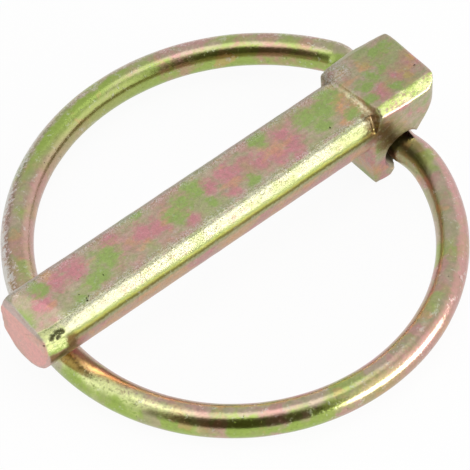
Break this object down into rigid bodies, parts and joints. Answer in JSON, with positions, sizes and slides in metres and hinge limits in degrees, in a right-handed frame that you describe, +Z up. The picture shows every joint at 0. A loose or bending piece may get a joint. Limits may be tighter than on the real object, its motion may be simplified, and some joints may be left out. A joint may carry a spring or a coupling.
{
  "type": "lynch pin",
  "caption": "Forged pin with a D-shaped shank, a bevelled tip and a block head, with a sprung wire ring that swings through the head and snaps under the tip to lock it.",
  "frame": {"origin": "middle of the bounding box at floor level, with the part lying on its side as it rests", "axes": "+X from the tip towards the head along the shank, +Z up, out of the shank's flat"},
  "size_m": [0.0598, 0.058, 0.013],
  "materials": {
    "forged_steel": "yellow zinc plate, satin, with green and pink tints",
    "spring_wire": "yellow zinc plate, bright, with green and pink tints"
  },
  "bodies": {
    "pin": {"pin": "forged_steel"},
    "ring": {"ring": "spring_wire"}
  },
  "joints": [
    {"name": "ring_swing", "type": "hinge", "parent": "pin", "child": "ring", "pos_m": [0.02501, 0.0009, 0.0037], "axis": [-0.1097, -0.994, 0], "range_deg": [0, 344.5]}
  ]
}
